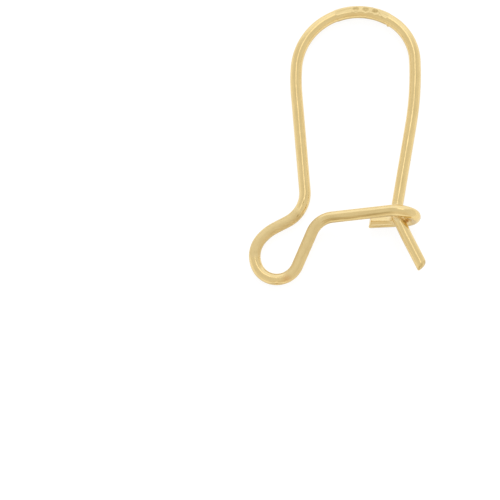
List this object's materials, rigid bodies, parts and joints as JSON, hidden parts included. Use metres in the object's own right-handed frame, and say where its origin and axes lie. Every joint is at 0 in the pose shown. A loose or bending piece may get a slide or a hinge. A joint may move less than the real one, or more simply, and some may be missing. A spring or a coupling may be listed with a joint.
{
  "type": "kidney ear wire",
  "caption": "Kidney-shaped earring wire: a tall arch with a struck flat crown, a drop loop, and a hook that catches the wire's own free leg.",
  "frame": {"origin": "under the middle of the wire's outline, on the table that it lies on", "axes": "+Z stands off the table, +Y runs up the arch to the crown, +X runs across it from the drop loop's side to the catch"},
  "size_m": [0.011, 0.018, 0.0022],
  "materials": {
    "gold_wire": "polished pale yellow gold"
  },
  "bodies": {
    "root": {"ear_wire": "gold_wire"}
  },
  "joints": []
}
